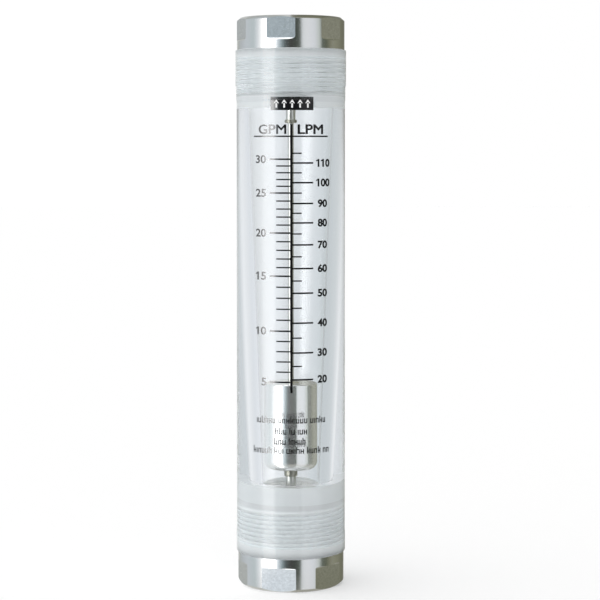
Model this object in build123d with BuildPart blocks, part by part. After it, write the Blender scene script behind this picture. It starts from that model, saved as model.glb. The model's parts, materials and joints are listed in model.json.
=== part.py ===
from build123d import *
import os

os.makedirs("parts", exist_ok=True)

# In-line flow meter: a steel float rises on a guide rod inside a clear tube whose bore widens
# upward, between two threaded end fittings. Millimetres, +Z up along the flow, with the origin
# on the axis at the outer face of the lower fitting.

# Clear metering tube
tube_length = 260.4
wall_over_thread = 4.4
tube_draft = 0.35
lower_band_height = 10.0
lower_band_step = 0.15
upper_band_height = 18.9
upper_band_step = 0.55
upper_shoulder_height = 7.2
upper_shoulder_step = 0.2
tube_edge_chamfer = 0.4
float_annulus = 0.95
bore_ledge = 0.1

# Screwed joint between each fitting and the tube
thread_radius = 23.9
thread_depth = 1.48
thread_pitch = 2.309
thread_clearance = 0.15
nose_relief = 0.2
o_ring_section = 2.65
o_ring_clearance = 0.05
o_ring_play = 0.95
nose_end_gap = 0.2
nose_chamfer = 0.5

# End fittings
collar_step = 0.6
collar_chamfer_radial = 2.0
collar_chamfer_axial = 1.7
port_radius = 15.145
port_depth = 20.0
port_chamfer = 1.4
nose_wall = 5.2
seat_ledge = 3.5
flat_count = 6
flat_runout_margin = 0.2
lower_collar_height = 17.4
lower_shank_length = 5.3
lower_thread_turns = 8
lower_nose_length = 8.8
lower_flat_depth = 1.525
lower_flat_length = 12.0
lower_flat_runout = 0.6
lower_flat_turn = -103.4
upper_collar_height = 16.6
upper_shank_length = 4.9
upper_thread_turns = 8
upper_nose_length = 2.4
upper_flat_depth = 1.0
upper_flat_length = 10.8
upper_flat_runout = 1.5
upper_flat_turn = -100.4

# Rod supports, each held in its fitting by a retaining ring
support_thickness = 3.5
support_clearance = 0.1
hub_radius = 4.2
leg_count = 3
leg_width = 3.0
window_fillet = 1.0
ring_thickness = 1.2
ring_clearance = 0.1
ring_groove_depth = 1.0
ring_width = 2.0
ring_gap_width = 7.0
ring_lug_radius = 1.9
ring_lug_hole_radius = 0.75
ring_lip = 2.0

# Guide rod and what is clamped on it
rod_radius = 1.5
rod_end_length = 1.5
rod_chamfer = 0.3
rod_clearance = 0.08
press_clearance = 0.02
washer_radius = 3.5
washer_thickness = 0.5
nut_flat_radius = 2.75
nut_height = 2.4
nut_chamfer = 0.3
stop_chamfer = 0.5
lower_sleeve_radius = 2.65
lower_sleeve_length = 6.7
lower_stop_radius = 3.45
lower_stop_height = 3.0
upper_sleeve_radius = 2.45
upper_sleeve_length = 10.5
upper_stop_radius = 3.15
upper_stop_height = 1.7

# Float with a guide bush pressed in at each end
float_radius = 13.75
float_length = 45.2
float_corner_radius = 5.0
float_edge_chamfer = 0.3
bush_wall = 1.5
bush_length = 8.0
bush_flange_width = 1.27
bush_flange_height = 0.8
stop_gap = 0.1

# Radii that follow from the screwed joint
thread_root = thread_radius - thread_depth
nose_radius = thread_root - nose_relief
socket_radius = nose_radius + thread_clearance
groove_radius = socket_radius - o_ring_section - 2 * o_ring_clearance
groove_length = o_ring_section + o_ring_play
seat_radius = nose_radius - nose_wall
waterway_radius = seat_radius - seat_ledge
ring_groove_radius = seat_radius + ring_groove_depth
tube_lower_radius = thread_radius + wall_over_thread
tube_upper_radius = tube_lower_radius - tube_draft
collar_radius = tube_lower_radius - collar_step
bore_lower_radius = float_radius + float_annulus
bore_upper_radius = socket_radius - bore_ledge

# Heights along the axis
tube_low = lower_collar_height
tube_high = tube_low + tube_length
meter_height = tube_high + upper_collar_height
seat_depth = support_thickness + 2 * ring_clearance + ring_thickness + ring_lip
lower_nose = (tube_low + lower_shank_length + lower_thread_turns * thread_pitch
              + groove_length + lower_nose_length)
upper_nose = (tube_high - upper_shank_length - upper_thread_turns * thread_pitch
              - groove_length - upper_nose_length)
lower_seat = lower_nose - seat_depth
upper_seat = upper_nose + seat_depth
lower_stop_low = lower_seat + support_thickness + lower_sleeve_length
lower_stop_high = lower_stop_low + lower_stop_height
upper_stop_high = upper_seat - support_thickness - upper_sleeve_length
upper_stop_low = upper_stop_high - upper_stop_height
float_low = lower_stop_high + stop_gap + bush_flange_height
float_high = float_low + float_length
float_travel = upper_stop_low - stop_gap - float_high


def thread_rings(root, crest, start, turns, way):
    """Section points of a thread drawn as rings of its own profile, from start along way."""
    points = []
    for turn in range(turns):
        base = start + way * turn * thread_pitch
        points += [(root, base), (crest, base + way * thread_pitch / 2)]
    return points + [(root, start + way * turns * thread_pitch)]


def make_flat_cutter(face_z, way, depth, length, runout):
    """Cutter of one wrench flat, with the curved run-out that the milling leaves."""
    floor = collar_radius - depth
    outside = collar_radius + flat_runout_margin
    with BuildPart() as cutter:
        with BuildSketch(Plane.XZ):
            with BuildLine():
                floor_end = (floor, face_z + way * length)
                runout_end = (outside, face_z + way * (length + runout))
                Line((floor, face_z), floor_end)
                TangentArc(floor_end, runout_end, tangent=(0, way))
                Polyline(runout_end, (outside, face_z), (floor, face_z))
            make_face()
        extrude(amount=collar_radius, both=True)
    return cutter


def make_fitting(face_z, way, collar, shank, turns, nose, flats, turn_angle):
    """End fitting turned from bar: collar, threaded spigot, seal groove and support seat."""
    thread_start = collar + shank
    groove_start = thread_start + turns * thread_pitch
    groove_end = groove_start + groove_length
    nose_end = groove_end + nose
    seat = nose_end - seat_depth
    ring_low = nose_end - ring_lip - ring_thickness - ring_clearance
    ring_high = nose_end - ring_lip
    rings = thread_rings(thread_root, thread_radius, thread_start, turns, 1)
    outline = [
        (port_radius + port_chamfer, 0),
        (collar_radius - collar_chamfer_radial, 0),
        (collar_radius, collar_chamfer_axial),
        (collar_radius, collar),
        (thread_radius, collar),
        (thread_radius, thread_start),
        *rings,
        (groove_radius, groove_start),
        (groove_radius, groove_end),
        (nose_radius, groove_end),
        (nose_radius, nose_end - nose_chamfer),
        (nose_radius - nose_chamfer, nose_end),
        (seat_radius, nose_end),
        (seat_radius, ring_high),
        (ring_groove_radius, ring_high),
        (ring_groove_radius, ring_low),
        (seat_radius, ring_low),
        (seat_radius, seat),
        (waterway_radius, seat),
        (waterway_radius, port_depth),
        (port_radius, port_depth),
        (port_radius, port_chamfer),
    ]
    cutter = make_flat_cutter(face_z, way, *flats)
    with BuildPart() as fitting:
        with BuildSketch(Plane.XZ):
            with BuildLine():
                Polyline([(radius, face_z + way * reach) for radius, reach in outline], close=True)
            make_face()
        revolve(axis=Axis.Z)
        with PolarLocations(0, flat_count, start_angle=turn_angle):
            add(cutter.part, mode=Mode.SUBTRACT)
    return fitting


def make_support(low_z):
    """Spider that carries the guide rod: rim, hub and legs, with open windows for the flow."""
    with BuildPart() as support:
        with BuildSketch(Plane.XY.offset(low_z)) as plan:
            Circle(seat_radius - support_clearance)
            Circle(waterway_radius, mode=Mode.SUBTRACT)
            leg_length = waterway_radius + window_fillet
            with PolarLocations(leg_length / 2, leg_count, start_angle=90):
                Rectangle(leg_length, leg_width)
            Circle(hub_radius)
            corners = plan.vertices().filter_by(
                lambda corner: corner.center().length < waterway_radius + window_fillet / 2)
            fillet(corners, window_fillet)
            Circle(rod_radius + press_clearance, mode=Mode.SUBTRACT)
        extrude(amount=support_thickness)
    return support


def make_retaining_ring(low_z):
    """Internal retaining ring, open at the back, with a plier hole in each lug."""
    outer = ring_groove_radius - ring_clearance
    inner = outer - ring_width
    lug_x = ring_gap_width / 2 + ring_lug_radius / 2
    lug_y = (inner ** 2 - lug_x ** 2) ** 0.5
    with BuildPart() as ring:
        with BuildSketch(Plane.XY.offset(low_z)):
            Circle(outer)
            Circle(inner, mode=Mode.SUBTRACT)
            with Locations((-lug_x, lug_y), (lug_x, lug_y)):
                Circle(ring_lug_radius)
            with Locations((0, outer)):
                Rectangle(ring_gap_width, 4 * ring_width + ring_lug_radius, mode=Mode.SUBTRACT)
            with Locations((-lug_x, lug_y), (lug_x, lug_y)):
                Circle(ring_lug_hole_radius, mode=Mode.SUBTRACT)
        extrude(amount=ring_thickness)
    return ring


def make_o_ring(centre_z):
    """Seal ring in the groove of a spigot, against the wall of the tube's socket."""
    centre_radius = (groove_radius + socket_radius) / 2
    with BuildPart() as seal:
        with BuildSketch(Plane.XZ):
            with Locations((centre_radius, centre_z)):
                Circle(o_ring_section / 2)
        revolve(axis=Axis.Z)
    return seal


def make_washer(low_z):
    """Plain washer between a support's hub and its nut."""
    with BuildPart() as washer:
        with BuildSketch(Plane.XY.offset(low_z)):
            Circle(washer_radius)
            Circle(rod_radius + rod_clearance, mode=Mode.SUBTRACT)
        extrude(amount=washer_thickness)
    return washer


def make_nut(low_z):
    """Hexagon nut on the end of the guide rod."""
    with BuildPart() as nut:
        with BuildSketch(Plane.XY.offset(low_z)):
            RegularPolygon(nut_flat_radius, side_count=6, major_radius=False)
        extrude(amount=nut_height)
        chamfer(nut.faces().filter_by(Axis.Z).edges(), nut_chamfer)
        with Locations((0, 0, low_z)):
            Hole(rod_radius + press_clearance)
    return nut


def make_sleeve(low_z, radius, length):
    """Spacer sleeve on the rod between a support and a stop."""
    with BuildPart() as sleeve:
        with BuildSketch(Plane.XY.offset(low_z)):
            Circle(radius)
            Circle(rod_radius + rod_clearance, mode=Mode.SUBTRACT)
        extrude(amount=length)
    return sleeve


def make_stop(low_z, radius, height):
    """Stop collar pressed on the rod, with its rim chamfered on both sides."""
    with BuildPart() as stop:
        with BuildSketch(Plane.XY.offset(low_z)):
            Circle(radius)
        extrude(amount=height)
        chamfer(stop.edges(), stop_chamfer)
        with Locations((0, 0, low_z)):
            Hole(rod_radius + press_clearance)
    return stop


def make_bush(face_z, way):
    """Flanged guide bush: the flange lies outward of face_z, the sleeve goes into the float."""
    bore = rod_radius + rod_clearance
    sleeve = bore + bush_wall
    flange = sleeve + bush_flange_width
    outline = [
        (bore, face_z - way * bush_flange_height),
        (flange, face_z - way * bush_flange_height),
        (flange, face_z),
        (sleeve, face_z),
        (sleeve, face_z + way * bush_length),
        (bore, face_z + way * bush_length),
    ]
    with BuildPart() as bush:
        with BuildSketch(Plane.XZ):
            with BuildLine():
                Polyline(outline, close=True)
            make_face()
        revolve(axis=Axis.Z)
    return bush


def finish(piece, name):
    """Label a piece and write it out."""
    piece.part.label = name
    export_step(piece.part, f"parts/{name}.step")


# Clear tube: the outside has a slight draft and thicker ends over the sockets, the inside has
# a threaded socket at each end and a conical bore between them
tube_outside = [
    (tube_lower_radius + lower_band_step - tube_edge_chamfer, tube_low),
    (tube_lower_radius + lower_band_step, tube_low + tube_edge_chamfer),
    (tube_lower_radius + lower_band_step, tube_low + lower_band_height - tube_edge_chamfer),
    (tube_lower_radius, tube_low + lower_band_height),
    (tube_upper_radius, tube_high - upper_band_height - upper_shoulder_height),
    (tube_upper_radius + upper_shoulder_step,
     tube_high - upper_band_height - upper_shoulder_height),
    (tube_upper_radius + upper_shoulder_step, tube_high - upper_band_height),
    (tube_upper_radius + upper_band_step, tube_high - upper_band_height),
    (tube_upper_radius + upper_band_step, tube_high - tube_edge_chamfer),
    (tube_upper_radius + upper_band_step - tube_edge_chamfer, tube_high),
]
lower_socket = thread_rings(thread_root + thread_clearance, thread_radius + thread_clearance,
                            tube_low + lower_shank_length, lower_thread_turns, 1)
upper_socket = thread_rings(thread_root + thread_clearance, thread_radius + thread_clearance,
                            tube_high - upper_shank_length, upper_thread_turns, -1)
tube_inside = [
    (thread_radius + thread_clearance, tube_high),
    (thread_radius + thread_clearance, tube_high - upper_shank_length),
    *upper_socket,
    (socket_radius, upper_socket[-1][1]),
    (socket_radius, upper_nose - nose_end_gap),
    (bore_upper_radius, upper_nose - nose_end_gap),
    (bore_lower_radius, lower_nose + nose_end_gap),
    (socket_radius, lower_nose + nose_end_gap),
    (socket_radius, lower_socket[-1][1]),
    *reversed(lower_socket),
    (thread_radius + thread_clearance, tube_low + lower_shank_length),
    (thread_radius + thread_clearance, tube_low),
]
with BuildPart() as metering_tube:
    with BuildSketch(Plane.XZ):
        with BuildLine():
            Polyline(tube_outside + tube_inside, close=True)
        make_face()
    revolve(axis=Axis.Z)
finish(metering_tube, "metering_tube")

# End fittings
lower_flats = (lower_flat_depth, lower_flat_length, lower_flat_runout)
upper_flats = (upper_flat_depth, upper_flat_length, upper_flat_runout)
lower_fitting = make_fitting(0, 1, lower_collar_height, lower_shank_length, lower_thread_turns,
                             lower_nose_length, lower_flats, lower_flat_turn)
upper_fitting = make_fitting(meter_height, -1, upper_collar_height, upper_shank_length,
                             upper_thread_turns, upper_nose_length, upper_flats, upper_flat_turn)
finish(lower_fitting, "lower_fitting")
finish(upper_fitting, "upper_fitting")

# Seals
finish(make_o_ring(lower_nose - lower_nose_length - groove_length / 2), "lower_o_ring")
finish(make_o_ring(upper_nose + upper_nose_length + groove_length / 2), "upper_o_ring")

# Rod supports and their retaining rings
finish(make_support(lower_seat), "lower_rod_support")
finish(make_support(upper_seat - support_thickness), "upper_rod_support")
lower_ring_low = lower_seat + support_thickness + ring_clearance
upper_ring_low = upper_seat - support_thickness - ring_clearance - ring_thickness
finish(make_retaining_ring(lower_ring_low), "lower_retaining_ring")
finish(make_retaining_ring(upper_ring_low), "upper_retaining_ring")

# Guide rod with a washer and a nut outside each support
lower_nut_low = lower_seat - washer_thickness - nut_height
upper_nut_low = upper_seat + washer_thickness
with BuildPart() as guide_rod:
    with BuildSketch(Plane.XY.offset(lower_nut_low - rod_end_length)):
        Circle(rod_radius)
    extrude(amount=upper_nut_low + nut_height + 2 * rod_end_length - lower_nut_low)
    chamfer(guide_rod.edges().filter_by(GeomType.CIRCLE), rod_chamfer)
finish(guide_rod, "guide_rod")
finish(make_washer(lower_seat - washer_thickness), "lower_rod_washer")
finish(make_washer(upper_seat), "upper_rod_washer")
finish(make_nut(lower_nut_low), "lower_rod_nut")
finish(make_nut(upper_nut_low), "upper_rod_nut")

# Sleeves and stop collars that set the float's travel
finish(make_sleeve(lower_stop_low - lower_sleeve_length, lower_sleeve_radius,
                   lower_sleeve_length), "lower_stop_sleeve")
finish(make_sleeve(upper_stop_high, upper_sleeve_radius, upper_sleeve_length),
       "upper_stop_sleeve")
finish(make_stop(lower_stop_low, lower_stop_radius, lower_stop_height), "lower_stop_collar")
finish(make_stop(upper_stop_low, upper_stop_radius, upper_stop_height), "upper_stop_collar")

# Float: sharp upper edge for reading, rounded lower corner, and a recess for the upper flange
bush_seat_radius = rod_radius + rod_clearance + bush_wall + press_clearance
flange_seat_radius = bush_seat_radius + bush_flange_width + press_clearance
with BuildPart() as float_body:
    with BuildSketch(Plane.XZ) as float_section:
        with BuildLine():
            Polyline(
                (bush_seat_radius, float_low),
                (float_radius, float_low),
                (float_radius, float_high - float_edge_chamfer),
                (float_radius - float_edge_chamfer, float_high),
                (flange_seat_radius, float_high),
                (flange_seat_radius, float_high - bush_flange_height),
                (bush_seat_radius, float_high - bush_flange_height),
                close=True,
            )
        make_face()
        lower_corner = float_section.vertices().group_by(Axis.Y)[0].sort_by(Axis.X)[-1]
        fillet(lower_corner, float_corner_radius)
    revolve(axis=Axis.Z)
finish(float_body, "float_body")
finish(make_bush(float_low, 1), "float_lower_bush")
finish(make_bush(float_high - bush_flange_height, -1), "float_upper_bush")

print(f"height {meter_height:.3f}, noses {lower_nose:.3f} {upper_nose:.3f}, "
      f"float {float_low:.3f} {float_high:.3f}, travel {float_travel:.3f}")
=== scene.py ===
import json
import math
import random

import bmesh
import bpy
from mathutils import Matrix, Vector


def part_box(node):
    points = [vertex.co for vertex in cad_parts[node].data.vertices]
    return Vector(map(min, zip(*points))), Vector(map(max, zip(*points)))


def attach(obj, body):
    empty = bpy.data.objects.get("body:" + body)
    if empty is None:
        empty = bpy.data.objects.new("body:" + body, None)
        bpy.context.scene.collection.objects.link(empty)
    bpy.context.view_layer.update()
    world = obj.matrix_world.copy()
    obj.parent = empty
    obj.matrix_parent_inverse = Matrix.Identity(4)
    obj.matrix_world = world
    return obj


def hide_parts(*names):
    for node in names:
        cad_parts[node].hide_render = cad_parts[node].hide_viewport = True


# Flow meter: clear tube with a printed scale, steel end fittings, and a float on a guide rod.
# Everything here is in metres unless a name says otherwise. MM turns millimetres into metres.
MM = 0.001
SEGMENTS = 240
WELD = 0.0005 * MM
SHARP_ANGLE = math.radians(32)

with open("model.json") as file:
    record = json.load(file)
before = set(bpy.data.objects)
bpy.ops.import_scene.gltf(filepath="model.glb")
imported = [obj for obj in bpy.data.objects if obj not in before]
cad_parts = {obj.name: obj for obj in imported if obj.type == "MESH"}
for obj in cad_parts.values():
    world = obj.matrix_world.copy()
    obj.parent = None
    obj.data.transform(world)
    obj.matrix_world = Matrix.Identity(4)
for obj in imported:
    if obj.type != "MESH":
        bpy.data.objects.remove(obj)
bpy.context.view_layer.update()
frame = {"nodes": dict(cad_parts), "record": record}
random.seed(11)

# Sizes read from the frame
TUBE_LOW, TUBE_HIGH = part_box("metering_tube")[0].z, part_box("metering_tube")[1].z
TUBE_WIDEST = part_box("metering_tube")[1].x
METER_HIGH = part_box("upper_fitting")[1].z
COLLAR_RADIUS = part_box("lower_fitting")[1].x
LOWER_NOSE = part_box("lower_fitting")[1].z
UPPER_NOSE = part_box("upper_fitting")[0].z
PORTS = {mount["name"]: mount for mount in frame["record"]["mounts"]}
PORT_RADIUS = PORTS["inlet_port"]["dims"]["r_mm"] * MM
PORT_THREAD_LENGTH = PORTS["inlet_port"]["dims"]["length_mm"] * MM
ROD_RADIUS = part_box("guide_rod")[1].x
FLOAT_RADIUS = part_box("float_body")[1].x
FLOAT_LOW, FLOAT_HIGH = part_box("float_body")[0].z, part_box("float_body")[1].z

# Tube outside, from the radius of its upper band
UPPER_BAND_STEP = 0.55 * MM
UPPER_SHOULDER_STEP = 0.2 * MM
LOWER_BAND_STEP = 0.15 * MM
TUBE_DRAFT = 0.35 * MM
TUBE_UPPER_RADIUS = TUBE_WIDEST - UPPER_BAND_STEP
TUBE_LOWER_RADIUS = TUBE_UPPER_RADIUS + TUBE_DRAFT
UPPER_BAND_HEIGHT = 18.9 * MM
UPPER_SHOULDER_HEIGHT = 7.2 * MM
LOWER_BAND_HEIGHT = 10.0 * MM

# Screwed joint
THREAD_RADIUS = 23.9 * MM
THREAD_DEPTH = 1.48 * MM
THREAD_PITCH = 2.309 * MM
THREAD_TURNS = 8
THREAD_CLEARANCE = 0.15 * MM
THREAD_ROOT = THREAD_RADIUS - THREAD_DEPTH
THREAD_LENGTH = THREAD_TURNS * THREAD_PITCH
LOWER_SHANK_LENGTH = 5.3 * MM
UPPER_SHANK_LENGTH = 4.9 * MM
THREAD_LEAD_IN = 0.75 * MM
THREAD_RUNOUT = 0.35 * THREAD_PITCH
LOWER_THREAD_LOW = TUBE_LOW + LOWER_SHANK_LENGTH
LOWER_THREAD_HIGH = LOWER_THREAD_LOW + THREAD_LENGTH
UPPER_THREAD_LOW = TUBE_HIGH - UPPER_SHANK_LENGTH - THREAD_LENGTH
UPPER_THREAD_HIGH = UPPER_THREAD_LOW + THREAD_LENGTH
# Low and high end of each thread, and the share of a turn by which it is screwed round
LOWER_THREAD = (LOWER_THREAD_LOW, LOWER_THREAD_HIGH, 0.0)
UPPER_THREAD = (UPPER_THREAD_LOW, UPPER_THREAD_HIGH, 0.52)
GROOVE_LENGTH = 3.6 * MM
O_RING_SECTION = 2.65 * MM
O_RING_CLEARANCE = 0.05 * MM
NOSE_RADIUS = THREAD_ROOT - 0.2 * MM
SOCKET_RADIUS = NOSE_RADIUS + THREAD_CLEARANCE
GROOVE_RADIUS = SOCKET_RADIUS - O_RING_SECTION - 2 * O_RING_CLEARANCE
NOSE_END_GAP = 0.2 * MM
NOSE_CHAMFER = 0.5 * MM
SEAT_RADIUS = NOSE_RADIUS - 5.2 * MM
WATERWAY_RADIUS = SEAT_RADIUS - 3.5 * MM
SEAT_DEPTH = 6.9 * MM
RING_GROOVE_START, RING_GROOVE_END = 2.0 * MM, 3.3 * MM
RING_GROOVE_RADIUS = SEAT_RADIUS + 1.0 * MM
PORT_CHAMFER = 1.4 * MM
PORT_DEPTH = 20.0 * MM
COLLAR_CHAMFER_ACROSS, COLLAR_CHAMFER_ALONG = 2.0 * MM, 1.7 * MM
# Wrench flats: depth, length along the collar, run-out, and turn in degrees
FLAT_COUNT = 6
LOWER_FLATS = (1.525 * MM, 12.0 * MM, 0.6 * MM, -13.4)
UPPER_FLATS = (1.0 * MM, 10.8 * MM, 1.5 * MM, -10.4)
FLAT_SHARP_ANGLE = math.radians(12)
BORE_LOWER_RADIUS = FLOAT_RADIUS + 0.95 * MM
BORE_UPPER_RADIUS = SOCKET_RADIUS - 0.1 * MM
# One turn of the thread's section: share of the pitch, share of the depth
THREAD_SECTION = [(0.0, 0.0), (0.08, 0.0), (0.42, 1.0), (0.58, 1.0), (0.92, 0.0)]

# Float and rod
FLOAT_EDGE = 0.3 * MM
FLOAT_CORNER = 5.0 * MM
FLANGE_THICKNESS = 0.8 * MM
BUSH_LENGTH = 8.0 * MM
ROD_CLEARANCE = 0.08 * MM

# Camera
CAMERA_DISTANCE = 0.985
CAMERA_HEIGHT = 0.2297
CAMERA_SIDE = 0.0048
CAMERA_PITCH = math.radians(4.7)
CAMERA_LENS = 113.8
CAMERA_SENSOR = 36.0


def shade_smooth(mesh, sharp_angle):
    """Smooth shading, with the edges split where the mesh turns by more than an angle."""
    mesh.polygons.foreach_set("use_smooth", [True] * len(mesh.polygons))
    mesh.set_sharp_from_angle(angle=sharp_angle)


def mesh_object(name, bm):
    mesh = bpy.data.meshes.new(name)
    bm.to_mesh(mesh)
    bm.free()
    shade_smooth(mesh, SHARP_ANGLE)
    piece = bpy.data.objects.new(name, mesh)
    bpy.context.scene.collection.objects.link(piece)
    return piece


def join_loops(bm, first, second):
    """Quads between two loops of vertices."""
    for index in range(len(first)):
        following = (index + 1) % len(first)
        bm.faces.new((first[index], first[following], second[following], second[index]))


def cap_ends(bm, first, last):
    bm.faces.new(first)
    bm.faces.new(list(reversed(last)))


def eased(points, radius, closed=True):
    """Section outline with its corners rounded by up to radius."""
    result = []
    count = len(points)
    most_of_side = 0.45
    for index, point in enumerate(points):
        if not closed and index in (0, count - 1):
            result.append(point)
            continue
        corner = Vector(point)
        before = Vector(points[index - 1]) - corner
        after = Vector(points[(index + 1) % count]) - corner
        reach = min(radius, most_of_side * before.length, most_of_side * after.length)
        start = corner + before.normalized() * reach
        end = corner + after.normalized() * reach
        # Halfway along the curve that leaves both sides smoothly
        middle = corner * 0.5 + (start + end) * 0.25
        result += [tuple(start), tuple(middle), tuple(end)]
    return result


def plain_rows(points):
    """Rows of a turned surface, one for each point (radius, height) of its section."""
    return [[point] * (SEGMENTS + 1) for point in points]


def thread_rows(root, crest, thread):
    """Rows of a right-hand thread from its low end upward, which runs out at both ends. The turns
    begin below the low end, and what lies past an end is held at it."""
    low, high, phase = thread
    turns = math.ceil((high - low) / THREAD_PITCH)
    rows = []
    for turn in range(-2, turns + 1):
        for share, depth in THREAD_SECTION:
            row = []
            for column in range(SEGMENTS + 1):
                height = low + THREAD_PITCH * (turn + phase + share + column / SEGMENTS)
                height = min(max(height, low), high)
                ends = min(height - low, high - height) / THREAD_RUNOUT
                row.append((root + (crest - root) * depth * min(1.0, ends), height))
            rows.append(row)
    return rows


def turned_mesh(rows):
    """Closed mesh through the rows, joined back to the first one."""
    bm = bmesh.new()
    grid = []
    for row in rows:
        line = []
        for column, (radius, height) in enumerate(row):
            angle = 2 * math.pi * column / SEGMENTS
            line.append(bm.verts.new((radius * math.cos(angle), radius * math.sin(angle), height)))
        grid.append(line)
    for index, line in enumerate(grid):
        above = grid[(index + 1) % len(grid)]
        for column in range(SEGMENTS):
            bm.faces.new((line[column], line[column + 1], above[column + 1], above[column]))
    bmesh.ops.remove_doubles(bm, verts=bm.verts, dist=WELD)
    bmesh.ops.dissolve_degenerate(bm, edges=bm.edges, dist=WELD)
    bmesh.ops.recalc_face_normals(bm, faces=bm.faces)
    return bm


def turned(name, rows):
    return mesh_object(name, turned_mesh(rows))


def socket_rows(thread):
    """Rows of a socket's thread, with its clearance, from its low end upward."""
    return thread_rows(THREAD_ROOT + THREAD_CLEARANCE, THREAD_RADIUS + THREAD_CLEARANCE, thread)


def make_tube():
    edge = 0.5 * MM
    bore_edge = 0.1 * MM
    shoulder_low = TUBE_HIGH - UPPER_BAND_HEIGHT - UPPER_SHOULDER_HEIGHT
    band_low = TUBE_HIGH - UPPER_BAND_HEIGHT
    mouth = THREAD_RADIUS + THREAD_CLEARANCE
    outside = [
        (mouth, TUBE_LOW),
        (TUBE_LOWER_RADIUS + LOWER_BAND_STEP, TUBE_LOW),
        (TUBE_LOWER_RADIUS + LOWER_BAND_STEP, TUBE_LOW + LOWER_BAND_HEIGHT),
        (TUBE_LOWER_RADIUS, TUBE_LOW + LOWER_BAND_HEIGHT + LOWER_BAND_STEP),
        (TUBE_UPPER_RADIUS, shoulder_low),
        (TUBE_UPPER_RADIUS + UPPER_SHOULDER_STEP, shoulder_low + UPPER_SHOULDER_STEP),
        (TUBE_UPPER_RADIUS + UPPER_SHOULDER_STEP, band_low),
        (TUBE_WIDEST, band_low + UPPER_BAND_STEP),
        (TUBE_WIDEST, TUBE_HIGH),
        (mouth, TUBE_HIGH),
        (mouth, UPPER_THREAD_HIGH + THREAD_LEAD_IN),
    ]
    seals = [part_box(f"{end}_o_ring") for end in ("upper", "lower")]
    upper_wall = [(SOCKET_RADIUS, z) for z in (UPPER_THREAD_LOW, seals[0][1].z, seals[0][0].z)]
    lower_wall = [(SOCKET_RADIUS, z) for z in (seals[1][1].z, seals[1][0].z)]
    bore = [
        (SOCKET_RADIUS, UPPER_NOSE - NOSE_END_GAP),
        (BORE_UPPER_RADIUS, UPPER_NOSE - NOSE_END_GAP),
        (BORE_LOWER_RADIUS, LOWER_NOSE + NOSE_END_GAP),
        (SOCKET_RADIUS, LOWER_NOSE + NOSE_END_GAP),
    ]
    rows = plain_rows(eased(outside, edge, closed=False))
    rows += reversed(socket_rows(UPPER_THREAD))
    rows += plain_rows(upper_wall + eased(bore, bore_edge, closed=False) + lower_wall)
    rows += plain_rows([(SOCKET_RADIUS, LOWER_THREAD_HIGH)])
    rows += reversed(socket_rows(LOWER_THREAD))
    rows += plain_rows([(mouth, LOWER_THREAD_LOW - THREAD_LEAD_IN)])
    piece = turned("clear_tube", rows)
    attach(piece, "meter")
    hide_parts("metering_tube")
    return piece


def fitting_rows(face, way, collar, thread, nose):
    """Rows of an end fitting, from the port's mouth round the outside to the port's thread."""
    shank_end, groove_start = thread[:2] if way > 0 else (thread[1], thread[0])
    collar_edge, nose_edge = 0.2 * MM, 0.12 * MM
    collar_end = face + way * collar
    outer = [
        (PORT_RADIUS, face + way * PORT_CHAMFER),
        (PORT_RADIUS + PORT_CHAMFER, face),
        (COLLAR_RADIUS - COLLAR_CHAMFER_ACROSS, face),
        (COLLAR_RADIUS, face + way * COLLAR_CHAMFER_ALONG),
        (COLLAR_RADIUS, collar_end),
        (THREAD_RADIUS, collar_end),
        (THREAD_RADIUS, shank_end - way * THREAD_LEAD_IN),
    ]
    inner = [
        (GROOVE_RADIUS, groove_start),
        (GROOVE_RADIUS, groove_start + way * GROOVE_LENGTH),
        (NOSE_RADIUS, groove_start + way * GROOVE_LENGTH),
        (NOSE_RADIUS, nose - way * NOSE_CHAMFER),
        (NOSE_RADIUS - NOSE_CHAMFER, nose),
        (SEAT_RADIUS, nose),
        (SEAT_RADIUS, nose - way * RING_GROOVE_START),
        (RING_GROOVE_RADIUS, nose - way * RING_GROOVE_START),
        (RING_GROOVE_RADIUS, nose - way * RING_GROOVE_END),
        (SEAT_RADIUS, nose - way * RING_GROOVE_END),
        (SEAT_RADIUS, nose - way * SEAT_DEPTH),
        (WATERWAY_RADIUS, nose - way * SEAT_DEPTH),
        (WATERWAY_RADIUS, face + way * PORT_DEPTH),
        (PORT_RADIUS, face + way * PORT_DEPTH),
    ]
    port_ends = sorted((face + way * PORT_CHAMFER, face + way * PORT_THREAD_LENGTH))
    port_turns = thread_rows(PORT_RADIUS, PORT_RADIUS + THREAD_DEPTH, (*port_ends, 0.0))
    rows = plain_rows(eased(outer, collar_edge, closed=False))
    turns = thread_rows(THREAD_ROOT, THREAD_RADIUS, thread)
    rows += turns if way > 0 else reversed(turns)
    rows += plain_rows(eased(inner, nose_edge, closed=False))
    rows += reversed(port_turns) if way > 0 else port_turns
    return rows


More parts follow.
